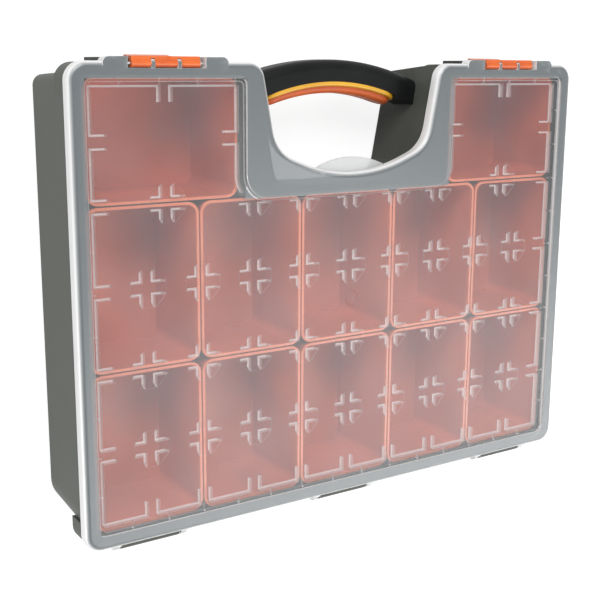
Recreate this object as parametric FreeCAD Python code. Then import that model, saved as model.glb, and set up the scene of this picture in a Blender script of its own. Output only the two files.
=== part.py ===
import FreeCAD, Part
import math
import os

V = FreeCAD.Vector

# Sizes are in millimetres. The case lies on its back: Z up through the lid, +Y to the handle.

# Lift-out bins
BIN_W = 79.0
BIN_L = 107.3
BIN_H = 62.0
BIN_LEAN = 2.9
BIN_WALL = 1.4
BIN_FLOOR = 1.6
BIN_CORNER = 8.0
BIN_RIM_H = 3.0
BIN_RIM_T = 0.5
BIN_GAP = 1.0
BIN_SEAT = 0.2
COLUMNS = 5
WING_SHIFT = 1.1

# Base tub
FOOT_H = 1.2
FOOT_SIZE = 16.0
FOOT_INSET = 12.0
TUB_FLOOR = 2.2
TUB_WALL = 2.2
TUB_LEAN = 2.4
SIDE_ROOM = 7.3
END_ROOM = 0.6
HINGE_CORNER = 21.0
HANDLE_CORNER = 7.0
UNDER_EDGE = 2.5
LIP_STEP = 1.2
LIP_SLACK = 2.4
FLOOR_RIB_T = 2.0
FLOOR_RIB_H = 2.0
SIDE_RIB_T = 2.0
SIDE_RIB_REACH = 30.0
SIDE_RIB_DROP = 8.0
SIDE_RIB_SLACK = 0.4

# Flange along the hinge side and the handle side
FLANGE_OUT = 6.1
FLANGE_H = 14.5
FLANGE_WRAP = 19.0
FLANGE_STEP = 0.6
FLANGE_RIB_T = 1.6

# Lid
LID_OVERHANG = 0.7
LID_CORNER = 12.0
LID_SKIRT_T = 1.6
LID_SKIRT_H = 8.5
LID_GAP = 2.2
LID_EDGE = 4.0
FRAME_T = 2.2
FRAME_W = 10.5
BEAD_W = 2.4
BEAD_H = 1.2
BEAD_SLOPE = 0.8
TAB_R = 70.0
TAB_OUT = 10.5
TAB_T = 2.0
PANEL_T = 1.8
PANEL_LAP = 1.6
WINDOW_CORNER = 5.0
WINDOW_BEND = 16.0
WINDOW_LEG_LAP = 2.2
WINDOW_FLOOR_LAP = 0.6

# Ribs under the lid that keep the bins in place
RIB_H = 3.8
RIB_T = 1.4
RIB_GAP = 0.6
RIB_LEG = 9.2
RIB_TAPER = 2.4
RIB_SPREAD = 3.5
RIB_ROOT = 0.2
PAD_T = 0.4
BORDER_INSET = 4.0
WEB_T = 0.9
WEB_PITCH = 27.0
GATE_Y = -10.0
GATE_R = 5.5
GATE_LINE = 0.8
GATE_NUB_R = 0.9
GATE_H = 0.3

# Recess for the hand, in lid and base
RECESS_CORNER_X = 64.2
RECESS_CORNER_DROP = 58.9
RECESS_FLOOR_DROP = 84.9
RECESS_SIDE_LEAN = 0.19
RECESS_MOUTH_R = 12.0
RECESS_CORNER_R = 25.0
RECESS_FLOOR_R = 120.0
RECESS_STEP = 2.3
BASE_CORNER_DROP = 80.9
BASE_FLOOR_DROP = 81.7
BASE_CORNER_R = 12.0
BASE_FLOOR_R = 300.0
POST_IN = 14.0
POST_LEAN = 5.6

# Handle and its grip
HANDLE_RISE = 2.4
HANDLE_BAND = 15.5
HANDLE_DEEP = 26.0
HANDLE_TOP_R = 204.0
HANDLE_UNDER_R = 162.0
HANDLE_EDGE = 7.0
HANDLE_SLACK = 0.15
TONGUE_DROP = 24.0
TONGUE_H = 11.0
TONGUE_DEEP = 12.0
TONGUE_L = 11.0
SOCKET_WALL = 2.4
TRIM_L = 120.0
TRIM_T = 3.2
TRIM_EDGE = 1.4
TRIM_RIM = 3.2
TRIM_FLOOR = 1.5
PAD_OUT = 5.0
PAD_EDGE = 4.0
GRIP_SLACK = 0.05

# Hinge
HINGE_OUT = 2.9
HINGE_DROP = 2.8
BARREL_R = 4.2
BARREL_W = 45.0
BARREL_CHAMFER = 1.2
HINGE_PIN_R = 1.25
ARM_W = 4.0
ARM_SLACK = 0.3
ARM_ROOM = 0.8
RUN_SLACK = 0.06
PRESS_SLACK = 0.02

# Latches
LATCH_W = 47.0
LATCH_R = 2.6
LATCH_IN = 1.3
LATCH_DROP = 4.0
KNUCKLE_MID = 15.4
LUG_W = 2.4
LUG_SLACK = 0.2
CUP_W = 53.5
CUP_SLACK = 0.3
CUP_WALL = 1.9
HOUSING_W = 86.0
HOUSING_OUT = 2.8
LEVER_OUT = 1.0
LEVER_T = 2.0
LEVER_L = 29.0
LEVER_SHOULDER = 1.5
LEVER_ROOT_H = 4.1
THUMB_W = 30.0
THUMB_H = 8.0
THUMB_OUT = 1.2
HOOK_W = 40.0
HOOK_H = 2.2
HOOK_BITE = 0.8
HOOK_SLACK = 0.3
CATCH_H = 2.0
CATCH_DROP = 19.5
CATCH_SLACK = 0.4
CHEEK_H = 19.0
LATCH_PIN_R = 0.9
LATCH_PIN_SET = 1.6

# Grid of the bins
PITCH_X = BIN_W + BIN_GAP
PITCH_Y = BIN_L + BIN_GAP
GRID_X = COLUMNS * PITCH_X / 2
GRID_Y = PITCH_Y + PITCH_X / 2
ROW_MID = -GRID_Y + PITCH_Y
ROW_TOP = ROW_MID + PITCH_Y
WING_X = GRID_X - PITCH_Y / 2 - WING_SHIFT
WING_Y = ROW_TOP + PITCH_X / 2
HALF_COLUMNS = [PITCH_X / 2 * k for k in range(1 - COLUMNS, COLUMNS)]

# Heights
FLOOR_Z = FOOT_H + TUB_FLOOR
BIN_Z = FLOOR_Z + BIN_SEAT
RIB_Z = BIN_Z + BIN_H + RIB_GAP
PANEL_Z = RIB_Z + RIB_H
WINDOW_Z = PANEL_Z + PANEL_T
LID_Z = WINDOW_Z + FRAME_T
SKIRT_Z = LID_Z - LID_SKIRT_H
RIM_Z = SKIRT_Z - LID_GAP
FLANGE_Z = RIM_Z - FLANGE_H
LIP_Z = WINDOW_Z - LIP_SLACK

# Outlines in plan
TUB_X = GRID_X + SIDE_ROOM + TUB_WALL
TUB_Y = GRID_Y + END_ROOM + TUB_WALL
LID_X = TUB_X + LID_OVERHANG
LID_Y = TUB_Y + FLANGE_OUT
LEG_X = WING_X - BIN_L / 2 - END_ROOM
LEG_Y = ROW_TOP - BIN_GAP / 2 + END_ROOM

# Hinge, latch and handle lines
HINGE_Y = -LID_Y - HINGE_OUT
HINGE_Z = RIM_Z - HINGE_DROP
HINGE_XS = (-(COLUMNS - 1) / 2 * PITCH_X, 0.0, (COLUMNS - 1) / 2 * PITCH_X)
LATCH_Y = LID_Y - LATCH_IN
LATCH_Z = LID_Z - LATCH_DROP
CUP_Y = LATCH_Y - LATCH_R - CUP_SLACK
LEVER_Y = LID_Y + LEVER_OUT
FLANGE_Y = LID_Y - FLANGE_STEP
CATCH_Z = LATCH_Z - CATCH_DROP
HANDLE_TOP = LID_Y + HANDLE_RISE
HANDLE_UNDER = HANDLE_TOP - HANDLE_BAND
HANDLE_Z = (FOOT_H + RIM_Z) / 2
OVERLAP = 1.0

# The origin is in the middle between the hinge barrels' and the latches' outermost faces
CENTRE_Y = (BARREL_R - HINGE_Y - LEVER_Y - LEVER_T - THUMB_OUT) / 2


# Outlines made of straight edges with rounded corners: each corner is (x, y, radius)

def shift_corners(corners, inset, keep_radius=False):
    """Moves every edge of a counter-clockwise outline inwards by inset."""
    count = len(corners)
    lines = []
    for i in range(count):
        ax, ay = corners[i][:2]
        bx, by = corners[(i + 1) % count][:2]
        length = math.hypot(bx - ax, by - ay)
        ux = (bx - ax) / length
        uy = (by - ay) / length
        lines.append((ax - uy * inset, ay + ux * inset, ux, uy))
    moved = []
    for i in range(count):
        px, py, pu, pv = lines[i - 1]
        qx, qy, qu, qv = lines[i]
        turn = pu * qv - pv * qu
        along = ((qx - px) * qv - (qy - py) * qu) / turn
        change = -inset if turn > 0 else inset
        radius = corners[i][2]
        if not (keep_radius and turn > 0) and radius > 0:
            radius = max(radius + change, 0.2)
        moved.append((px + pu * along, py + pv * along, radius))
    return moved


def outline(corners, z):
    """Closed wire of lines and tangent arcs through the corners, at height z."""
    count = len(corners)
    starts = []
    ends = []
    middles = []
    for i in range(count):
        x, y, radius = corners[i]
        px, py = corners[i - 1][:2]
        qx, qy = corners[(i + 1) % count][:2]
        back = V(px - x, py - y, 0).normalize()
        ahead = V(qx - x, qy - y, 0).normalize()
        half = back.getAngle(ahead) / 2
        reach = radius / math.tan(half)
        corner = V(x, y, z)
        centre_line = (back + ahead).normalize()
        starts.append(corner + back * reach)
        ends.append(corner + ahead * reach)
        middles.append(corner + centre_line * (radius / math.sin(half) - radius))
    edges = []
    for i in range(count):
        if corners[i][2] > 0:
            edges.append(Part.Arc(starts[i], middles[i], ends[i]).toShape())
        edges.append(Part.makeLine(ends[i], starts[(i + 1) % count]))
    return Part.Wire(edges)


def prism(corners, z0, z1):
    return Part.Face(outline(corners, z0)).extrude(V(0, 0, z1 - z0))


def leaning(corners_low, z_low, corners_high, z_high):
    return Part.makeLoft([outline(corners_low, z_low), outline(corners_high, z_high)], True, True)


def box(x0, x1, y0, y1, z0, z1):
    return Part.makeBox(x1 - x0, y1 - y0, z1 - z0, V(x0, y0, z0))


def rod(radius, x0, x1, y, z):
    return Part.makeCylinder(radius, x1 - x0, V(x0, y, z), V(1, 0, 0))


def side_profile(points, x0, x1):
    """Solid with a constant profile of (y, z) points, drawn along X."""
    wire = Part.makePolygon([V(x0, y, z) for y, z in points + points[:1]])
    return Part.Face(wire).extrude(V(x1 - x0, 0, 0))


def rounded(half_x, half_y, radius, x=0.0, y=0.0):
    return [(x - half_x, y - half_y, radius), (x + half_x, y - half_y, radius),
            (x + half_x, y + half_y, radius), (x - half_x, y + half_y, radius)]


def edges_at(shape, z):
    return [e for e in shape.Edges if all(abs(v.Z - z) < 0.001 for v in e.Vertexes)]


def one_solid(shape):
    return shape.removeSplitter().Solids[0]


# The hand recess: a mouth that narrows to two round corners and a floor, deeper in the base than in the lid

LID_RECESS = (RECESS_CORNER_DROP, RECESS_FLOOR_DROP, RECESS_CORNER_R, RECESS_FLOOR_R)
BASE_RECESS = (BASE_CORNER_DROP, BASE_FLOOR_DROP, BASE_CORNER_R, BASE_FLOOR_R)


def recess(grow, edge_y, form):
    """Corners of the recess from its right mouth to its left, grown by grow, cut off at edge_y."""
    corner_drop, floor_drop, corner_r, floor_r = form
    low_x = RECESS_CORNER_X - RECESS_SIDE_LEAN * (corner_drop - RECESS_CORNER_DROP)
    low_y = LID_Y - corner_drop
    far = 2 * LID_Y
    far_x = low_x + RECESS_SIDE_LEAN * (far - low_y)
    shape = [(-low_x, low_y, corner_r), (0, LID_Y - floor_drop, floor_r), (low_x, low_y, corner_r),
             (far_x, far, 0), (-far_x, far, 0)]
    left, floor, right = shift_corners(shape, -grow)[:3]
    mouth_x = right[0] + RECESS_SIDE_LEAN * (edge_y - right[1])
    return [(mouth_x, edge_y, 0), right, floor, left, (-mouth_x, edge_y, 0)]


def recess_void(grow, z0, z1, grow_low):
    """The open space of the base's recess, wider by grow_low at z0 and by grow at z1."""
    top = LID_Y + HANDLE_RISE + LID_EDGE
    high = recess(grow, top, BASE_RECESS)[::-1]
    low = recess(grow_low, top, BASE_RECESS)[::-1]
    return leaning(low, z0, high, z1)


def case_outline(half_x, half_y, handle_r, hinge_r, mouth_r, grow, form):
    mouth = recess(grow, half_y, form)
    right = (mouth[0][0], half_y, mouth_r)
    left = (mouth[-1][0], half_y, mouth_r)
    return [(-half_x, -half_y, hinge_r), (half_x, -half_y, hinge_r), (half_x, half_y, handle_r),
            right] + mouth[1:-1] + [left, (-half_x, half_y, handle_r)]


LID_PLAN = case_outline(LID_X, LID_Y, LID_CORNER, LID_CORNER, RECESS_MOUTH_R, 0.0, LID_RECESS)
TUB_PLAN = case_outline(TUB_X, TUB_Y, HANDLE_CORNER, HINGE_CORNER, RECESS_MOUTH_R - RECESS_STEP,
                        RECESS_STEP, BASE_RECESS)
WINDOW_LEG = LEG_X - WINDOW_LEG_LAP
WINDOW_FLOOR = LEG_Y - WINDOW_FLOOR_LAP
WINDOW_X = LID_X - FRAME_W
WINDOW_Y = LID_Y - FRAME_W
WINDOW_PLAN = [(-WINDOW_X, -WINDOW_Y, WINDOW_CORNER), (WINDOW_X, -WINDOW_Y, WINDOW_CORNER),
               (WINDOW_X, WINDOW_Y, WINDOW_CORNER), (WINDOW_LEG, WINDOW_Y, WINDOW_CORNER),
               (WINDOW_LEG, WINDOW_FLOOR, WINDOW_BEND), (-WINDOW_LEG, WINDOW_FLOOR, WINDOW_BEND),
               (-WINDOW_LEG, WINDOW_Y, WINDOW_CORNER), (-WINDOW_X, WINDOW_Y, WINDOW_CORNER)]


# Base tub with its flange, hinge barrels, catch blocks and handle sockets

def lean_at(z):
    return TUB_LEAN * (RIM_Z - z) / (RIM_Z - FOOT_H)


def tub_cavity():
    inner_x = TUB_X - TUB_WALL
    inner_y = TUB_Y - TUB_WALL
    hinge_r = HINGE_CORNER - TUB_WALL
    corner = HANDLE_CORNER - TUB_WALL
    plan = [(-inner_x, -inner_y, hinge_r), (inner_x, -inner_y, hinge_r), (inner_x, inner_y, corner),
            (LEG_X, inner_y, corner), (LEG_X, LEG_Y, corner), (-LEG_X, LEG_Y, corner),
            (-LEG_X, inner_y, corner), (-inner_x, inner_y, corner)]
    floor_plan = shift_corners(plan, lean_at(FLOOR_Z), keep_radius=True)
    return leaning(floor_plan, FLOOR_Z, plan, RIM_Z)


def recess_pocket():
    """Hollow behind the recess wall, open to the back of the case."""
    roof = RIM_Z - TUB_WALL
    half_x = LEG_X - TUB_WALL
    low_y = LID_Y - BASE_CORNER_DROP + TUB_WALL
    high_y = TUB_Y - TUB_WALL
    plan = [(-half_x, low_y, TUB_WALL), (half_x, low_y, TUB_WALL), (half_x, high_y, TUB_WALL),
            (-half_x, high_y, TUB_WALL)]
    lean = lean_at(0)
    low = [(-half_x - lean, low_y - lean, TUB_WALL), (half_x + lean, low_y - lean, TUB_WALL),
           (half_x + lean, high_y - lean, TUB_WALL), (-half_x - lean, high_y - lean, TUB_WALL)]
    skirt = recess_void(RECESS_STEP + TUB_WALL, 0, RIM_Z, RECESS_STEP + TUB_WALL + lean)
    return leaning(low, 0, plan, roof).cut(skirt)


def flange():
    plan = shift_corners(LID_PLAN, FLANGE_STEP)
    inner = shift_corners(plan, TUB_WALL)
    shell = prism(plan, FLANGE_Z, RIM_Z).cut(prism(inner, FLANGE_Z, RIM_Z - TUB_WALL))
    ribs = []
    for x in HALF_COLUMNS:
        ribs.append(box(x - FLANGE_RIB_T / 2, x + FLANGE_RIB_T / 2, -FLANGE_Y + TUB_WALL / 2,
                        -TUB_Y + OVERLAP, FLANGE_Z + TUB_WALL, RIM_Z))
    far = LID_X + OVERLAP
    handle_zone = box(-far, far, LID_Y - FLANGE_WRAP, LID_Y + OVERLAP, FLANGE_Z, RIM_Z)
    hinge_zone = box(-far, far, -LID_Y - OVERLAP, -LID_Y + FLANGE_WRAP, FLANGE_Z, RIM_Z)
    mouth = recess_void(RECESS_STEP, FOOT_H, RIM_Z, RECESS_STEP + TUB_LEAN)
    return [shell.common(handle_zone).cut(mouth), shell.common(hinge_zone)] + ribs


def handle_posts():
    """Thicker walls beside the recess mouth, level with the flange, that carry the handle's ends."""
    low = FOOT_H + UNDER_EDGE
    back = TUB_Y - POST_IN
    far = WING_X - HOUSING_W / 2 + OVERLAP
    post = side_profile([(back, low), (FLANGE_Y - POST_LEAN, low), (FLANGE_Y, RIM_Z), (back, RIM_Z)], -far, far)
    return post.cut(recess_void(RECESS_STEP, FOOT_H, RIM_Z, RECESS_STEP + TUB_LEAN)).Solids


def catch(x):
    """Block under one latch: two cheeks, a wall and the ridge that the latch hooks under."""
    low = RIM_Z - CHEEK_H
    cheek_out = LID_Y + HOUSING_OUT - FLANGE_STEP
    back = FLANGE_Y - TUB_WALL
    wall = box(x - HOUSING_W / 2, x + HOUSING_W / 2, back, FLANGE_Y, low, RIM_Z)
    pieces = [wall]
    for side in (-1, 1):
        inner = x + side * CUP_W / 2
        outer = x + side * HOUSING_W / 2
        pieces.append(box(min(inner, outer), max(inner, outer), back, cheek_out, low, RIM_Z))
    ridge_out = LEVER_Y - CATCH_SLACK
    pieces.append(box(x - HOOK_W / 2, x + HOOK_W / 2, FLANGE_Y - OVERLAP, ridge_out,
                      CATCH_Z, CATCH_Z + CATCH_H))
    return pieces


def hinge_barrel(x):
    barrel = rod(BARREL_R, x - BARREL_W / 2, x + BARREL_W / 2, HINGE_Y, HINGE_Z)
    ends = [e for e in barrel.Edges if len(e.Vertexes) == 1]
    barrel = barrel.makeChamfer(BARREL_CHAMFER, ends)
    half = BARREL_W / 2 - BARREL_CHAMFER
    web = box(x - half, x + half, HINGE_Y, -FLANGE_Y + TUB_WALL, HINGE_Z - BARREL_R, RIM_Z)
    return [barrel, web]


def arm_room(x):
    """Room in the flange for the two lid arms beside one barrel."""
    room = BARREL_R + ARM_ROOM
    pieces = []
    for side in (-1, 1):
        near = x + side * BARREL_W / 2
        far = near + side * (ARM_W + 2 * ARM_SLACK)
        pieces.append(box(min(near, far), max(near, far), HINGE_Y - room, HINGE_Y + room,
                          HINGE_Z - room, RIM_Z + OVERLAP))
    return pieces


def tongue_box(side, slack, wall):
    """Block round one handle tongue, grown by slack and wall."""
    grow = slack + wall
    wall_x = recess(RECESS_STEP, HANDLE_TOP - TONGUE_DROP, BASE_RECESS)[0][0]
    x0 = wall_x - 2 * SOCKET_WALL
    x1 = wall_x + TONGUE_L + grow
    y = HANDLE_TOP - TONGUE_DROP
    ends = sorted((side * x0, side * x1))
    return box(ends[0], ends[1], y - TONGUE_H / 2 - grow, y + TONGUE_H / 2 + grow,
               HANDLE_Z - TONGUE_DEEP / 2 - grow, HANDLE_Z + TONGUE_DEEP / 2 + grow)


def floor_ribs():
    """Low ribs on the tub floor between the feet of the bins, and ribs on its side walls."""
    half = FLOOR_RIB_T / 2
    top = FLOOR_Z + FLOOR_RIB_H
    low = FLOOR_Z - OVERLAP
    ribs = []
    for k in range(1, COLUMNS):
        x = -GRID_X + k * PITCH_X
        ribs.append(box(x - half, x + half, -GRID_Y, ROW_TOP, low, top))
    ribs.append(box(-GRID_X, GRID_X, ROW_MID - half, ROW_MID + half, low, top))
    for side in (-1, 1):
        ends = sorted((side * (LEG_X + TUB_LEAN), side * GRID_X))
        ribs.append(box(ends[0], ends[1], ROW_TOP - half, ROW_TOP + half, low, top))
        near = side * (GRID_X - BIN_GAP / 2 + SIDE_RIB_SLACK)
        wall = side * (TUB_X - TUB_WALL / 2 - TUB_LEAN)
        ends = sorted((near, wall))
        for row in (ROW_MID - PITCH_Y / 2, ROW_MID + PITCH_Y / 2):
            for y in (row - SIDE_RIB_REACH, row + SIDE_RIB_REACH):
                ribs.append(box(ends[0], ends[1], y - SIDE_RIB_T / 2, y + SIDE_RIB_T / 2,
                                low, RIM_Z - SIDE_RIB_DROP))
    return ribs


def feet():
    x = TUB_X - TUB_LEAN - FOOT_INSET
    y = TUB_Y - TUB_LEAN - FOOT_INSET
    half = FOOT_SIZE / 2
    places = [(sx * (x - half), sy * (y - half)) for sx in (-1, 1) for sy in (-1, 1)]
    return [prism(rounded(half, half, UNDER_EDGE, px, py), 0, FOOT_H + OVERLAP) for px, py in places]


def make_case_base():
    under = shift_corners(TUB_PLAN, TUB_LEAN, keep_radius=True)
    tub = leaning(under, FOOT_H, TUB_PLAN, RIM_Z)
    tub = tub.makeFillet(UNDER_EDGE, edges_at(tub, FOOT_H))
    hollow = tub_cavity()
    pocket = recess_pocket()
    lip = prism(shift_corners(TUB_PLAN, LIP_STEP), RIM_Z - OVERLAP, LIP_Z)
    lip = lip.cut(prism(shift_corners(TUB_PLAN, TUB_WALL), RIM_Z - OVERLAP, LIP_Z))
    outside = flange() + handle_posts()
    for side in (-1, 1):
        outside += catch(side * WING_X)
    for x in HINGE_XS:
        outside += hinge_barrel(x)
    base = tub.fuse(outside)
    cuts = [hollow, pocket]
    for x in HINGE_XS:
        cuts += arm_room(x)
        cuts.append(rod(HINGE_PIN_R + PRESS_SLACK, x - BARREL_W, x + BARREL_W, HINGE_Y, HINGE_Z))
    base = base.cut(cuts)
    void = recess_void(RECESS_STEP, FOOT_H, RIM_Z, RECESS_STEP + TUB_LEAN)
    sockets = [tongue_box(side, HANDLE_SLACK, SOCKET_WALL).cut(void) for side in (-1, 1)]
    base = base.fuse([lip] + floor_ribs() + feet() + sockets)
    base = base.cut([tongue_box(side, HANDLE_SLACK, 0.0) for side in (-1, 1)])
    return one_solid(base)


# Lid with its frame, window panel, locating ribs, hinge arms and latch cups

def rib_corner():
    """One L of a locating cross, in the quarter where x and y are positive."""
    wires = []
    for z, leg in ((RIB_Z, RIB_LEG - RIB_TAPER), (PANEL_Z + RIB_ROOT, RIB_LEG)):
        a = RIB_SPREAD
        b = RIB_SPREAD + RIB_T
        c = RIB_SPREAD + leg
        points = [(a, a), (c, a), (c, b), (b, b), (b, c), (a, c), (a, a)]
        wires.append(Part.makePolygon([V(x, y, z) for x, y in points]))
    return Part.makeLoft(wires, True, True)


def make_cross(quarters):
    """Locating cross at the origin: an L in each quarter, and the thin pad that carries them."""
    corner = rib_corner()
    ribs = []
    for quarter in quarters:
        turned = corner.copy()
        turned.rotate(V(0, 0, 0), V(0, 0, 1), 90 * quarter)
        ribs.append(turned)
    tip = RIB_SPREAD + RIB_LEG
    cut = RIB_SPREAD + RIB_T
    pad = [(-cut, -tip, 0), (cut, -tip, 0), (tip, -cut, 0), (tip, cut, 0), (cut, tip, 0), (-cut, tip, 0),
           (-tip, cut, 0), (-tip, -cut, 0)]
    plate = prism(pad, PANEL_Z - PAD_T, PANEL_Z + RIB_ROOT)
    if len(quarters) < 4:
        plate = plate.common(box(-tip, tip, -tip, 0, PANEL_Z - PAD_T, PANEL_Z + RIB_ROOT))
    return plate.fuse(ribs)


def crosses():
    whole = make_cross((0, 1, 2, 3))
    lower_half = make_cross((2, 3))
    rows = (ROW_MID - PITCH_Y / 2, ROW_MID, ROW_MID + PITCH_Y / 2)
    places = [(whole, x, y) for x in HALF_COLUMNS for y in rows]
    places += [(whole, side * WING_X, ROW_TOP) for side in (-1, 1)]
    places += [(lower_half, x, ROW_TOP) for x in HALF_COLUMNS if abs(x) < WINDOW_LEG]
    return [made.translated(V(x, y, 0)) for made, x, y in places]


def border_ribs():
    """Rib round the window's edge, open at the bin lines, with two short legs at each opening."""
    low = RIB_Z
    high = PANEL_Z + RIB_ROOT
    outer = shift_corners(WINDOW_PLAN, BORDER_INSET)
    ring = prism(outer, low, high).cut(prism(shift_corners(outer, RIB_T), low, high))
    edge_x = WINDOW_X - BORDER_INSET
    edge_y = WINDOW_Y - BORDER_INSET
    leg_x = WINDOW_LEG + BORDER_INSET
    reach = RIB_T + RIB_LEG
    legs = []
    gaps = []

    def opening(x, y, dx, dy):
        """Opening in the rib at (x, y), with legs that point along (dx, dy)."""
        far_x = x + dx * reach
        far_y = y + dy * reach
        for side in (-1, 1):
            a = side * RIB_SPREAD
            b = side * (RIB_SPREAD + RIB_T)
            xs = sorted((x + abs(dy) * a, far_x + abs(dy) * b))
            ys = sorted((y + abs(dx) * a, far_y + abs(dx) * b))
            legs.append(box(xs[0], xs[1], ys[0], ys[1], low, high))
        half_x = RIB_SPREAD if dy else reach
        half_y = RIB_SPREAD if dx else reach
        gaps.append(box(x - half_x, x + half_x, y - half_y, y + half_y, low, PANEL_Z))

    side_lines = (ROW_MID - PITCH_Y / 2, ROW_MID, ROW_MID + PITCH_Y / 2, ROW_TOP, WING_Y)
    for side in (-1, 1):
        for y in side_lines:
            opening(side * edge_x, y, -side, 0)
        opening(side * WING_X, edge_y, 0, -1)
        opening(side * leg_x, WING_Y, side, 0)
    for x in HALF_COLUMNS:
        opening(x, -edge_y, 0, 1)
    half = leg_x + reach
    gaps.append(box(-half, half, ROW_TOP - 2 * reach, ROW_TOP + RIB_SPREAD, low, PANEL_Z))
    return [ring.cut(gaps)] + legs


def border_webs():
    """Short webs between the window's edge and the rib inside it."""
    half = WEB_T / 2
    out_x = WINDOW_X + PANEL_LAP / 2
    in_x = WINDOW_X - BORDER_INSET - RIB_T / 2
    out_y = WINDOW_Y + PANEL_LAP / 2
    in_y = WINDOW_Y - BORDER_INSET - RIB_T / 2
    low = RIB_Z + RIB_H / 2
    high = PANEL_Z + RIB_ROOT
    webs = []
    count_y = int((WINDOW_Y - BORDER_INSET) / WEB_PITCH)
    for k in range(-count_y, count_y):
        y = (k + 0.5) * WEB_PITCH
        for side in (-1, 1):
            xs = sorted((side * in_x, side * out_x))
            webs.append(box(xs[0], xs[1], y - half, y + half, low, high))
    count_x = int((WINDOW_X - BORDER_INSET) / WEB_PITCH)
    for k in range(-count_x, count_x):
        x = (k + 0.5) * WEB_PITCH
        webs.append(box(x - half, x + half, -out_y, -in_y, low, high))
        if abs(x) > WINDOW_LEG + BORDER_INSET:
            webs.append(box(x - half, x + half, in_y, out_y, low, high))
    return webs


def gate_mark():
    """Ring and nub on the window where the plastic was let into the mould."""
    spot = V(0, GATE_Y, WINDOW_Z - GATE_H)
    high = 2 * GATE_H
    ring = Part.makeCylinder(GATE_R, high, spot).cut(Part.makeCylinder(GATE_R - GATE_LINE, high, spot))
    return [ring, Part.makeCylinder(GATE_NUB_R, 2 * high, spot)]


def hinge_arms():
    """Arms of the lid at both ends of each barrel, bored for the hinge pin."""
    pieces = []
    for x in HINGE_XS:
        for side in (-1, 1):
            near = x + side * (BARREL_W / 2 + ARM_SLACK)
            xs = sorted((near, near + side * ARM_W))
            boss = rod(BARREL_R, xs[0], xs[1], HINGE_Y, HINGE_Z)
            arm = box(xs[0], xs[1], HINGE_Y, -LID_Y + LID_SKIRT_T, HINGE_Z, SKIRT_Z + LID_SKIRT_T)
            bore = rod(HINGE_PIN_R + RUN_SLACK, xs[0], xs[1], HINGE_Y, HINGE_Z)
            pieces.append(boss.fuse(arm).cut(bore))
    return pieces


def lug_places(x):
    offset = (KNUCKLE_MID + LUG_W) / 2 + LUG_SLACK
    return (x - offset, x + offset)


def latch_housing(x):
    """Raised block of the lid round one latch, hollow from below."""
    half = HOUSING_W / 2
    out = LID_Y + HOUSING_OUT
    block = prism([(x - half, CUP_Y - CUP_WALL, 0), (x + half, CUP_Y - CUP_WALL, 0),
                   (x + half, out, LID_EDGE), (x - half, out, LID_EDGE)], SKIRT_Z, LID_Z)
    for side in (-1, 1):
        xs = sorted((x + side * (CUP_W / 2 + CUP_WALL), x + side * (half - CUP_WALL)))
        block = block.cut(box(xs[0], xs[1], CUP_Y, out - CUP_WALL, SKIRT_Z, WINDOW_Z))
    return block


def latch_cup(x):
    half = CUP_W / 2
    return box(x - half, x + half, CUP_Y, LEVER_Y + HOUSING_OUT + LEVER_T, FLANGE_Z, LID_Z + OVERLAP)


def latch_lugs(x):
    pieces = []
    for lug_x in lug_places(x):
        x0 = lug_x - LUG_W / 2
        x1 = lug_x + LUG_W / 2
        pieces.append(rod(LATCH_R, x0, x1, LATCH_Y, LATCH_Z))
        pieces.append(box(x0, x1, CUP_Y - CUP_WALL / 2, LATCH_Y, LATCH_Z - LATCH_R, LATCH_Z + LATCH_R))
    return pieces


def window_bead():
    """Bead along the window's edge, with a sloping inner face."""
    low = WINDOW_Z - OVERLAP
    high = WINDOW_Z + BEAD_H
    low_plan = shift_corners(WINDOW_PLAN, BEAD_W)
    high_plan = shift_corners(WINDOW_PLAN, BEAD_W - BEAD_SLOPE)
    return prism(WINDOW_PLAN, low, high).cut(leaning(low_plan, low, high_plan, high))


def recess_floor():
    """Y of the lowest point of the lid's recess, where its round floor crosses the middle."""
    rise = math.atan2(RECESS_FLOOR_DROP - RECESS_CORNER_DROP, RECESS_CORNER_X)
    return LID_Y - RECESS_FLOOR_DROP + RECESS_FLOOR_R * (1 / math.cos(rise) - 1)


def lift_tab():
    """Half-moon tab in the recess for lifting the lid."""
    floor_y = recess_floor()
    disc = Part.makeCylinder(TAB_R, TAB_T, V(0, floor_y + TAB_OUT - TAB_R, SKIRT_Z))
    return disc.cut(prism(shift_corners(LID_PLAN, LID_SKIRT_T), SKIRT_Z, LID_Z))


def make_lid():
    lid = prism(LID_PLAN, SKIRT_Z, LID_Z)
    lid = lid.makeFillet(LID_EDGE, edges_at(lid, LID_Z))
    lid = lid.cut(prism(shift_corners(LID_PLAN, LID_SKIRT_T), SKIRT_Z, WINDOW_Z))
    lid = lid.cut(prism(WINDOW_PLAN, WINDOW_Z, LID_Z))
    lid = lid.fuse([latch_housing(-WING_X), latch_housing(WING_X)])
    lid = lid.cut([latch_cup(-WING_X), latch_cup(WING_X)])
    panel = prism(shift_corners(WINDOW_PLAN, -PANEL_LAP), PANEL_Z, WINDOW_Z)
    lid = lid.fuse([panel, lift_tab()] + hinge_arms() + latch_lugs(-WING_X) + latch_lugs(WING_X))
    lid = lid.fuse([window_bead()] + crosses() + border_ribs() + border_webs() + gate_mark())
    bores = []
    for side in (-1, 1):
        x = side * WING_X
        half = CUP_W / 2 + LATCH_PIN_SET
        bores.append(rod(LATCH_PIN_R + PRESS_SLACK, x - half, x + half, LATCH_Y, LATCH_Z))
    return one_solid(lid.cut(bores))


# Latch: a three-knuckle barrel with a lever that hooks under the ridge of the base

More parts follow.
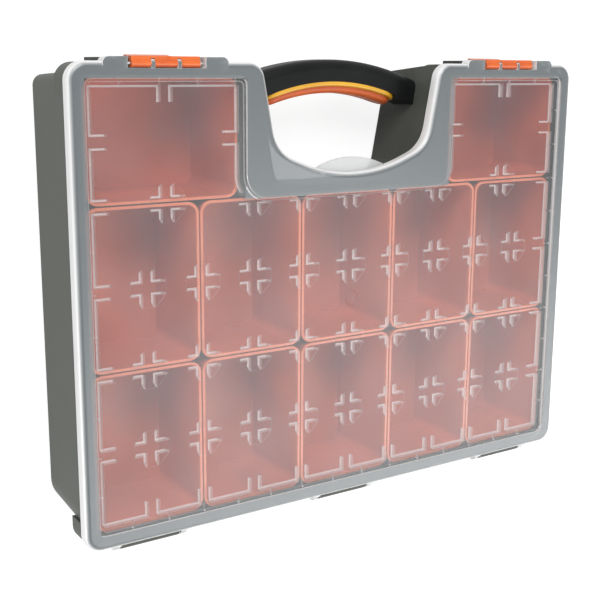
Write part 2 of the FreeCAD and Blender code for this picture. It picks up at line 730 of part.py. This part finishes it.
def make_latch(x):
    x0 = x - LATCH_W / 2
    x1 = x + LATCH_W / 2
    out = LEVER_Y + LEVER_T
    low = LATCH_Z - LEVER_L
    top = LATCH_Z + LEVER_SHOULDER
    lever = side_profile([(LATCH_Y, top), (out, top), (out, low + THUMB_H), (LEVER_Y, low + THUMB_H),
                          (LEVER_Y, LATCH_Z - LEVER_ROOT_H + LATCH_R), (LATCH_Y, LATCH_Z - LATCH_R)], x0, x1)
    thumb = side_profile([(LEVER_Y, low + THUMB_H), (out, low + THUMB_H), (out + THUMB_OUT, low),
                          (LEVER_Y + THUMB_OUT, low)], x - THUMB_W / 2, x + THUMB_W / 2)
    hook_top = CATCH_Z - HOOK_SLACK
    hook_in = LEVER_Y - CATCH_SLACK - HOOK_BITE
    hook = side_profile([(LEVER_Y + OVERLAP, hook_top), (hook_in, hook_top),
                         (LEVER_Y + OVERLAP, hook_top - HOOK_H)], x - HOOK_W / 2, x + HOOK_W / 2)
    latch = rod(LATCH_R, x0, x1, LATCH_Y, LATCH_Z).fuse([lever, thumb, hook])
    slots = []
    room = LATCH_R + CUP_SLACK
    for lug_x in lug_places(x):
        half = LUG_W / 2 + LUG_SLACK
        slots.append(rod(room, lug_x - half, lug_x + half, LATCH_Y, LATCH_Z))
        slots.append(box(lug_x - half, lug_x + half, LATCH_Y - room, LATCH_Y + room,
                         LATCH_Z - room, LATCH_Z + room))
    slots.append(rod(LATCH_PIN_R + RUN_SLACK, x0, x1, LATCH_Y, LATCH_Z))
    return one_solid(latch.cut(slots))


def make_latch_pin(x):
    half = CUP_W / 2 + LATCH_PIN_SET
    return rod(LATCH_PIN_R, x - half, x + half, LATCH_Y, LATCH_Z)


def make_hinge_pin(x):
    half = BARREL_W / 2 + ARM_SLACK + ARM_W
    return rod(HINGE_PIN_R, x - half, x + half, HINGE_Y, HINGE_Z)


# Handle: an arch between two tongues, with a two-colour grip under it

def arch(outer_r, inner_r, centre_y, half_x, z0, z1):
    """Slab between two arcs about one centre line."""
    arcs = []
    for centre, radius in ((centre_y[0], outer_r), (centre_y[1], inner_r)):
        end_y = centre + math.sqrt(radius ** 2 - half_x ** 2)
        arcs.append((V(-half_x, end_y, z0), V(0, centre + radius, z0), V(half_x, end_y, z0)))
    edges = [Part.Arc(*points).toShape() for points in arcs]
    edges.append(Part.makeLine(arcs[0][0], arcs[1][0]))
    edges.append(Part.makeLine(arcs[0][2], arcs[1][2]))
    face = Part.Face(Part.Wire(Part.__sortEdges__(edges)))
    return face.extrude(V(0, 0, z1 - z0))


def stadium(length, width):
    """Upright prism with round ends, along Y, under the handle."""
    radius = width / 2
    half = length / 2 - radius
    y0 = HANDLE_UNDER - HANDLE_UNDER_R / 2
    points = [V(-half, y0, HANDLE_Z - radius), V(half, y0, HANDLE_Z - radius),
              V(half, y0, HANDLE_Z + radius), V(-half, y0, HANDLE_Z + radius)]
    edges = [Part.makeLine(points[0], points[1]),
             Part.Arc(points[1], V(half + radius, y0, HANDLE_Z), points[2]).toShape(),
             Part.makeLine(points[2], points[3]),
             Part.Arc(points[3], V(-half - radius, y0, HANDLE_Z), points[0]).toShape()]
    return Part.Face(Part.Wire(edges)).extrude(V(0, HANDLE_UNDER_R, 0))


def make_handle_bar():
    half_x = recess(RECESS_STEP, HANDLE_TOP, BASE_RECESS)[0][0] + OVERLAP
    z0 = HANDLE_Z - HANDLE_DEEP / 2
    z1 = HANDLE_Z + HANDLE_DEEP / 2
    centres = (HANDLE_TOP - HANDLE_TOP_R, HANDLE_UNDER - HANDLE_UNDER_R)
    bar = arch(HANDLE_TOP_R, HANDLE_UNDER_R, centres, half_x, z0, z1)
    long_edges = [e for e in bar.Edges if e.Length > half_x]
    top_edges = [e for e in long_edges if e.BoundBox.YMax > HANDLE_TOP - 0.01]
    bar = bar.makeFillet(HANDLE_EDGE, top_edges)
    step = RECESS_STEP - HANDLE_SLACK
    bar = bar.common(recess_void(step + lean_at(z1), z0, z1, step + lean_at(z0)))
    return one_solid(bar.fuse([tongue_box(side, 0.0, 0.0) for side in (-1, 1)]))


def grip_slab(from_under, to_under):
    """Slab that follows the underside of the handle between two depths below it."""
    centre = HANDLE_UNDER - HANDLE_UNDER_R
    half_x = TRIM_L / 2 + OVERLAP
    return arch(HANDLE_UNDER_R - from_under, HANDLE_UNDER_R - to_under, (centre, centre), half_x,
                HANDLE_Z - HANDLE_DEEP, HANDLE_Z + HANDLE_DEEP)


def under_edges(slab, depth):
    """Edges of a grip slab on its face at that depth below the handle."""
    centre = HANDLE_UNDER - HANDLE_UNDER_R
    radius = HANDLE_UNDER_R - depth
    return [e for e in slab.Edges
            if all(abs(math.hypot(v.X, v.Y - centre) - radius) < 0.001 for v in e.Vertexes)]


def make_grip_trim():
    trim = grip_slab(GRIP_SLACK, TRIM_T).common(stadium(TRIM_L, HANDLE_DEEP))
    trim = trim.makeFillet(TRIM_EDGE, under_edges(trim, TRIM_T))
    well = grip_slab(TRIM_FLOOR, TRIM_T + PAD_OUT)
    well = well.common(stadium(TRIM_L - 2 * TRIM_RIM, HANDLE_DEEP - 2 * TRIM_RIM))
    return one_solid(trim.cut(well))


def make_grip_pad():
    grow = 2 * (TRIM_RIM + GRIP_SLACK)
    depth = TRIM_T + PAD_OUT
    pad = grip_slab(TRIM_FLOOR + GRIP_SLACK, depth).common(stadium(TRIM_L - grow, HANDLE_DEEP - grow))
    return one_solid(pad.makeFillet(PAD_EDGE, under_edges(pad, depth)))


# Bins: open boxes with leaning walls and a thicker rim

def make_bin():
    """One bin over the origin, long side along Y."""
    top = BIN_Z + BIN_H
    rim = rounded(BIN_W / 2, BIN_L / 2, BIN_CORNER)
    body = shift_corners(rim, BIN_RIM_T, keep_radius=True)
    foot = shift_corners(rim, BIN_LEAN, keep_radius=True)
    outside = leaning(foot, BIN_Z, body, top)
    collar = prism(rim, top - BIN_RIM_H, top)
    inside = leaning(shift_corners(foot, BIN_WALL), BIN_Z + BIN_FLOOR, shift_corners(body, BIN_WALL), top)
    return one_solid(outside.fuse(collar).cut(inside))


def bins():
    upright = make_bin()
    sideways = upright.copy()
    sideways.rotate(V(0, 0, 0), V(0, 0, 1), 90)
    made = {"bin_top_left": sideways.translated(V(-WING_X, WING_Y, 0)),
            "bin_top_right": sideways.translated(V(WING_X, WING_Y, 0))}
    for k in range(COLUMNS):
        x = -GRID_X + (k + 0.5) * PITCH_X
        made["bin_mid_%d" % (k + 1)] = upright.translated(V(x, ROW_MID + PITCH_Y / 2, 0))
        made["bin_low_%d" % (k + 1)] = upright.translated(V(x, ROW_MID - PITCH_Y / 2, 0))
    return made


parts = {
    "case_base": make_case_base(),
    "lid": make_lid(),
    "latch_left": make_latch(-WING_X),
    "latch_right": make_latch(WING_X),
    "latch_pin_left": make_latch_pin(-WING_X),
    "latch_pin_right": make_latch_pin(WING_X),
    "handle_bar": make_handle_bar(),
    "grip_trim": make_grip_trim(),
    "grip_pad": make_grip_pad(),
}
for name, x in zip(("left", "middle", "right"), HINGE_XS):
    parts["hinge_pin_" + name] = make_hinge_pin(x)
parts.update(bins())

os.makedirs("parts", exist_ok=True)
for name, shape in parts.items():
    shape.translated(V(0, CENTRE_Y, 0)).exportStep("parts/%s.step" % name)
    print(name, shape.isValid(), round(shape.Volume / 1000, 2), "cm3")
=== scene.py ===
import bpy
from mathutils import Matrix, Vector

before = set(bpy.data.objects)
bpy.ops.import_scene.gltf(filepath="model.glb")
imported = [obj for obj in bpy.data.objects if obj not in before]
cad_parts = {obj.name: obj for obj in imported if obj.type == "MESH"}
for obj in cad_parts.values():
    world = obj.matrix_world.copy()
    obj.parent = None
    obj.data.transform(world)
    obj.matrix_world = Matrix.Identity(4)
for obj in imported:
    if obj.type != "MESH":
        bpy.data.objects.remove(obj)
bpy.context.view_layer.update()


# Base tub: one injection moulding in grey polypropylene, with leaning walls, a flange along the hinge and handle
# sides, hinge barrels and the ridges that the latches hook under. The mould leaves a fine satin grain, and handling
# rubs its edges a little lighter. The lip that stands up into the lid is painted near black as painted shade, so
# that the gap between lid and base reads dark.

class Wire:
    """One output socket of a material. Arithmetic on wires and numbers adds the Math nodes for it."""

    def __init__(self, tree, socket=None):
        self.tree = tree
        self.socket = socket

    def add(self, kind, settings, inputs, out=0):
        """Adds a node of that type, sets its settings and then its sockets, and gives one output of it."""
        node = self.tree.nodes.new(kind)
        for name, value in settings.items():
            setattr(node, name, value)
        for name, value in inputs.items():
            if isinstance(value, Wire):
                self.tree.links.new(value.socket, node.inputs[name])
            else:
                node.inputs[name].default_value = value
        return Wire(self.tree, node.outputs[out] if node.outputs else None)

    def math(self, operation, a, b):
        return self.add("ShaderNodeMath", {"operation": operation}, {0: a, 1: b})

    def __add__(self, other):
        return self.math("ADD", self, other)

    def __radd__(self, other):
        return self.math("ADD", other, self)

    def __sub__(self, other):
        return self.math("SUBTRACT", self, other)

    def __rsub__(self, other):
        return self.math("SUBTRACT", other, self)

    def __mul__(self, other):
        return self.math("MULTIPLY", self, other)

    def __rmul__(self, other):
        return self.math("MULTIPLY", other, self)


def new_material(name):
    """An empty material, and a wire that carries its node tree."""
    material = bpy.data.materials.new(name)
    material.use_nodes = True
    material.node_tree.nodes.clear()
    return material, Wire(material.node_tree)


def place_on(wire):
    return wire.add("ShaderNodeTexCoord", {}, {}, "Object")


def cloud(place, scale, detail=2.0, rough=0.5):
    """Soft noise from 0 to 1, with features of about 1/scale metres."""
    return place.add("ShaderNodeTexNoise", {}, {"Vector": place, "Scale": scale, "Detail": detail,
                                                "Roughness": rough}, "Fac")


def span(value, low, high, to_low=0.0, to_high=1.0):
    """Value mapped from low..high to to_low..to_high, and held at the ends."""
    return value.add("ShaderNodeMapRange", {"clamp": True}, {"Value": value, "From Min": low, "From Max": high,
                                                             "To Min": to_low, "To Max": to_high})


def blend(mask, colour_a, colour_b):
    """Colour a where the mask is 0 and colour b where it is 1."""
    return mask.add("ShaderNodeMix", {"data_type": "RGBA"}, {0: mask, 6: colour_a, 7: colour_b}, 2)


def soft_edges(place, radius):
    """Normal with the sharp edges rounded by radius, and a mask of where those edges are."""
    rounded = place.add("ShaderNodeBevel", {"samples": 6}, {"Radius": radius})
    flat = place.add("ShaderNodeNewGeometry", {}, {}, "Normal")
    alike = place.add("ShaderNodeVectorMath", {"operation": "DOT_PRODUCT"}, {0: rounded, 1: flat}, "Value")
    return rounded, span(1.0 - alike, 0.02, 0.25)


def grained(normal, height, distance, strength):
    return height.add("ShaderNodeBump", {}, {"Strength": strength, "Distance": distance, "Height": height,
                                             "Normal": normal})


def close_up(wire, sockets):
    """Ends a material in one glossy plastic or metal surface with these sockets."""
    shader = wire.add("ShaderNodeBsdfPrincipled", {}, sockets)
    wire.add("ShaderNodeOutputMaterial", {}, {"Surface": shader})


def dress(material, *names):
    for name in names:
        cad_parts[name].data.materials[0] = material


GREY_DEEP = (0.074, 0.080, 0.069, 1)
GREY_LIGHT = (0.098, 0.105, 0.092, 1)
GREY_RUBBED = (0.14, 0.148, 0.133, 1)
GAP_SHADE_DARK = (0.012, 0.012, 0.012, 1)
RIM_Z = 0.0634
TUB_Y = 0.1518
MIDDLE_Y = 0.00145

base_grey, wire = new_material("base_grey_plastic")
place = place_on(wire)
normal, edge = soft_edges(place, 0.0007)
mottle = cloud(place, 14.0, 4.0) * 0.7 + cloud(place, 160.0, 2.0) * 0.3
grain = cloud(place, 2600.0, 2.0, 0.6)
rubbed = edge * span(cloud(place, 120.0, 3.0), 0.35, 0.75)
skin = blend(rubbed * 0.7, blend(span(mottle, 0.3, 0.7), GREY_DEEP, GREY_LIGHT), GREY_RUBBED)
# The lip above RIM_Z, within the tub's width, is painted near black: painted shade for the gap between lid and base.
above = wire.math("GREATER_THAN", wire.add("ShaderNodeSeparateXYZ", {}, {0: place}, "Z"), RIM_Z)
across = wire.add("ShaderNodeSeparateXYZ", {}, {0: place}, "Y") - MIDDLE_Y
painted_gap_shade = above * wire.math("LESS_THAN", wire.math("ABSOLUTE", across, 0.0), TUB_Y)
close_up(wire, {"Base Color": blend(painted_gap_shade, skin, GAP_SHADE_DARK),
                "Roughness": span(mottle, 0.3, 0.7, 0.46, 0.56) - rubbed * 0.1,
                "Specular IOR Level": 0.18,
                "Normal": grained(normal, grain, 0.00012, 0.35)})
dress(base_grey, "case_base")


# Hinge pins and latch pins: short lengths of drawn steel wire, pressed into the mouldings. Fine rings run
# round them from the cutting.

steel, wire = new_material("drawn_steel")
place = place_on(wire)
rings = wire.add("ShaderNodeTexWave", {"bands_direction": "X"}, {"Vector": place, "Scale": 900.0, "Distortion": 3.0,
                                                                  "Detail": 2.0}, "Fac")
close_up(wire, {"Base Color": blend(span(cloud(place, 300.0), 0.3, 0.7), (0.46, 0.46, 0.47, 1), (0.6, 0.6, 0.61, 1)),
                "Metallic": 1.0,
                "Roughness": span(rings, 0.0, 1.0, 0.28, 0.42)})
dress(steel, "hinge_pin_left", "hinge_pin_middle", "hinge_pin_right", "latch_pin_left", "latch_pin_right")


# Lift-out bins: thin open boxes moulded in orange polypropylene, with a thicker rim. The plastic is a little
# uneven in colour, and the rims are rubbed lighter by the lid's ribs and by fingers.

BIN_DEEP = (0.45, 0.076, 0.028, 1)
BIN_LIGHT = (0.59, 0.112, 0.038, 1)
BIN_RUBBED = (0.62, 0.160, 0.058, 1)

bin_orange, wire = new_material("bin_orange_plastic")
place = place_on(wire)
normal, edge = soft_edges(place, 0.0005)
mottle = cloud(place, 22.0, 3.0)
grain = cloud(place, 1800.0, 2.0)
rim = span(wire.add("ShaderNodeSeparateXYZ", {}, {0: place}, "Z"), 0.0622, 0.0648)
worn = wire.math("MAXIMUM", edge * 0.6, rim * span(cloud(place, 140.0), 0.3, 0.7, 0.3, 0.8))
close_up(wire, {"Base Color": blend(worn, blend(span(mottle, 0.3, 0.7), BIN_DEEP, BIN_LIGHT), BIN_RUBBED),
                "Roughness": span(mottle, 0.3, 0.7, 0.38, 0.48),
                "Normal": grained(normal, grain, 0.00008, 0.25)})
dress(bin_orange, *[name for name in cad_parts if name.startswith("bin_")])


# Lid: one clear, faintly milky polypropylene moulding. Its window panel is thin and lets the bins show, and the
# frame, the ribs and every wall seen on edge are thicker, so that they look whiter. The walls seen on edge, the
# rounded edges and the rib feet are painted near white, and the parts below TAB_Z half as much: partly the whiter
# look of thick milky plastic, partly painted light for the light the translucent edges carry and their highlights.

WINDOW = (0.1997, 0.1467)
WINDOW_LEG = (0.0883, 0.0692)
RIB_Z = 0.0675
TAB_Z = 0.0690
LID_MILK = (0.62, 0.64, 0.68, 1)
LID_FRAME = (0.135, 0.157, 0.166, 1)
LID_WHITE_AND_PAINTED_LIGHT = (0.90, 0.90, 0.90, 1)

lid_clear, wire = new_material("lid_clear_plastic")
place = place_on(wire)
normal, edge = soft_edges(place, 0.0006)
along = wire.add("ShaderNodeSeparateXYZ", {}, {0: place}, "X")
across = wire.add("ShaderNodeSeparateXYZ", {}, {0: place}, "Y")
height = wire.add("ShaderNodeSeparateXYZ", {}, {0: place}, "Z")
facing = wire.add("ShaderNodeSeparateXYZ", {}, {0: wire.add("ShaderNodeNewGeometry", {}, {}, "Normal")}, "Z")
wall = span(1.0 - wire.math("ABSOLUTE", facing, 0.0), 0.03, 0.4)
out_x = wire.math("GREATER_THAN", wire.math("ABSOLUTE", along, 0.0), WINDOW[0])
out_y = wire.math("GREATER_THAN", wire.math("ABSOLUTE", across - MIDDLE_Y, 0.0), WINDOW[1])
near_x = wire.math("LESS_THAN", wire.math("ABSOLUTE", along, 0.0), WINDOW_LEG[0])
in_recess = wire.math("GREATER_THAN", across, WINDOW_LEG[1]) * near_x
framed = wire.math("MINIMUM", out_x + out_y + in_recess, 1.0)
foot = wire.math("LESS_THAN", height, RIB_Z) * (1.0 - wall)
tab = wire.math("LESS_THAN", height, TAB_Z)
milk = cloud(place, 16.0, 3.0)
flow = cloud(place, 70.0, 3.0)
thick = framed * (0.60 + wall * 0.28)
thin = (1.0 - framed) * (foot * 0.5 + wall * 0.26)
alpha = 0.05 + thick + thin + span(milk, 0.3, 0.7, -0.015, 0.015)
# Near-white mask: partly the whiter look of thick milky plastic, partly painted light standing in for the light
# carried through the translucent edges and their highlights.
white_and_painted_light = wire.math("MAXIMUM", wire.math("MAXIMUM", wall, edge), wire.math("MAXIMUM", foot, tab * 0.5))
bumpy = grained(normal, flow, 0.0004, 0.12)
body = wire.add("ShaderNodeBsdfPrincipled", {}, {
    "Base Color": blend(white_and_painted_light, blend(framed, LID_MILK, LID_FRAME), LID_WHITE_AND_PAINTED_LIGHT),
    "Roughness": span(flow, 0.3, 0.7, 0.34, 0.44), "Alpha": alpha, "IOR": 1.49, "Normal": bumpy})
sheen = wire.add("ShaderNodeBsdfGlossy", {}, {"Color": (0.8, 0.8, 0.8, 1), "Roughness": 0.3, "Normal": bumpy})
outside = 1.0 - wire.add("ShaderNodeNewGeometry", {}, {}, "Backfacing")
gloss = wire.add("ShaderNodeFresnel", {}, {"IOR": 1.49}) * outside
coated = wire.add("ShaderNodeMixShader", {}, {0: gloss, 1: body, 2: sheen})
wire.add("ShaderNodeOutputMaterial", {}, {"Surface": coated})
dress(lid_clear, "lid")


# Latches: two orange snap levers on the lid's top edge, each a three-knuckle barrel on a steel pin with a thumb
# flap that hooks under the base's ridge.

LATCH_DEEP = (0.58, 0.092, 0.010, 1)
LATCH_LIGHT = (0.74, 0.142, 0.017, 1)
LATCH_RUBBED = (0.92, 0.30, 0.06, 1)

latch_orange, wire = new_material("latch_orange_plastic")
place = place_on(wire)
normal, edge = soft_edges(place, 0.0005)
mottle = cloud(place, 90.0, 3.0)
close_up(wire, {"Base Color": blend(edge * 0.6, blend(span(mottle, 0.3, 0.7), LATCH_DEEP, LATCH_LIGHT), LATCH_RUBBED),
                "Roughness": span(mottle, 0.3, 0.7, 0.32, 0.42),
                "Normal": grained(normal, cloud(place, 2200.0), 0.00008, 0.25)})
dress(latch_orange, "latch_left", "latch_right")


# Carrying handle: a black polypropylene arch whose end tongues sit in sockets in the recess walls. Its top is
# polished a little by the hand.

BLACK_DEEP = (0.005, 0.0055, 0.0055, 1)
BLACK_LIGHT = (0.009, 0.0095, 0.0095, 1)
BLACK_RUBBED = (0.03, 0.031, 0.032, 1)

handle_black, wire = new_material("handle_black_plastic")
place = place_on(wire)
normal, edge = soft_edges(place, 0.0008)
mottle = cloud(place, 40.0, 4.0)
close_up(wire, {"Base Color": blend(edge * 0.5, blend(span(mottle, 0.3, 0.7), BLACK_DEEP, BLACK_LIGHT), BLACK_RUBBED),
                "Roughness": span(mottle, 0.3, 0.7, 0.40, 0.52),
                "Specular IOR Level": 0.12,
                "Normal": grained(normal, cloud(place, 2400.0, 2.0, 0.6), 0.0001, 0.35)})
dress(handle_black, "handle_bar")


# Grip: a yellow plastic trim under the arch, with an orange soft pad moulded into it for the fingers.

grip_yellow, wire = new_material("grip_yellow_plastic")
place = place_on(wire)
normal, edge = soft_edges(place, 0.0006)
mottle = cloud(place, 60.0, 3.0)
close_up(wire, {"Base Color": blend(span(mottle, 0.3, 0.7), (0.62, 0.30, 0.010, 1), (0.74, 0.40, 0.018, 1)),
                "Roughness": span(mottle, 0.3, 0.7, 0.36, 0.46),
                "Normal": grained(normal, cloud(place, 2200.0), 0.00008, 0.25)})
dress(grip_yellow, "grip_trim")

grip_orange, wire = new_material("grip_orange_rubber")
place = place_on(wire)
normal, edge = soft_edges(place, 0.0012)
mottle = cloud(place, 60.0, 3.0)
close_up(wire, {"Base Color": blend(span(mottle, 0.3, 0.7), (0.56, 0.09, 0.012, 1), (0.70, 0.13, 0.018, 1)),
                "Roughness": span(mottle, 0.3, 0.7, 0.5, 0.62),
                "Normal": grained(normal, cloud(place, 3000.0, 2.0, 0.6), 0.00012, 0.4)})
dress(grip_orange, "grip_pad")


# Studio: a white paper floor that the case lies on, a white surround, and three soft lamps: a key from above the
# handle, one across the lid and one low on the left. The camera is set where the photograph was taken from.

FLOOR_HALF = 6.0
floor_mesh = bpy.data.meshes.new("studio_floor")
floor_mesh.from_pydata([(-FLOOR_HALF, -FLOOR_HALF, -0.0003), (FLOOR_HALF, -FLOOR_HALF, -0.0003),
                        (FLOOR_HALF, FLOOR_HALF, -0.0003), (-FLOOR_HALF, FLOOR_HALF, -0.0003)], [], [(0, 1, 2, 3)])
floor = bpy.data.objects.new("studio_floor", floor_mesh)
bpy.context.collection.objects.link(floor)


def seen_directly(wire):
    """1 for rays from the camera, also by way of gloss or through a clear piece, and 0 for rays that light."""
    rays = [wire.add("ShaderNodeLightPath", {}, {}, kind)
            for kind in ("Is Camera Ray", "Is Glossy Ray", "Is Transmission Ray")]
    return wire.math("MINIMUM", rays[0] + rays[1] + rays[2], 1.0)


paper_white, wire = new_material("studio_paper")
paper = wire.add("ShaderNodeBsdfDiffuse", {}, {"Color": (0.3, 0.3, 0.3, 1)})
glow = wire.add("ShaderNodeEmission", {}, {"Color": (1, 1, 1, 1), "Strength": seen_directly(wire) * 0.86})
wire.add("ShaderNodeOutputMaterial", {}, {"Surface": wire.add("ShaderNodeAddShader", {}, {0: paper, 1: glow})})
floor_mesh.materials.append(paper_white)

world = bpy.data.worlds.new("studio_surround")
bpy.context.scene.world = world
world.use_nodes = True
world.node_tree.nodes.clear()
wire = Wire(world.node_tree)
sky = wire.add("ShaderNodeBackground", {}, {"Color": (1, 1, 1, 1), "Strength": 0.24 + seen_directly(wire) * 0.76})
wire.add("ShaderNodeOutputWorld", {}, {"Surface": sky})


def lamp(name, place, size, power):
    """Square soft lamp that looks at the middle of the case."""
    data = bpy.data.lights.new(name, "AREA")
    data.size = size
    data.energy = power
    made = bpy.data.objects.new(name, data)
    made.location = place
    made.rotation_euler = (Vector((0, 0, 0.03)) - Vector(place)).to_track_quat("-Z", "Y").to_euler()
    bpy.context.collection.objects.link(made)


lamp("key_lamp", (-0.40, 1.15, 1.15), 0.9, 20.0)
lamp("front_lamp", (0.95, -0.88, 1.3), 1.5, 30.0)
lamp("side_lamp", (-1.5, -0.8, 0.3), 0.9, 16.0)

RIGHT = (0.84010456, 0.00559935, 0.5423956)
UP = (0.11158072, 0.97677746, -0.18290854)
FORWARD = (0.53082396, -0.21418319, -0.81997042)
EYE = (-0.44089, 0.15525, 0.68340)
LENS = 63.635

camera_data = bpy.data.cameras.new("camera")
camera_data.sensor_width = 36.0
camera_data.lens = LENS
camera = bpy.data.objects.new("camera", camera_data)
camera.matrix_world = Matrix((
    (RIGHT[0], UP[0], -FORWARD[0], EYE[0]),
    (RIGHT[1], UP[1], -FORWARD[1], EYE[1]),
    (RIGHT[2], UP[2], -FORWARD[2], EYE[2]),
    (0, 0, 0, 1)))
bpy.context.collection.objects.link(camera)
bpy.context.scene.camera = camera
bpy.context.scene.view_settings.view_transform = "Standard"
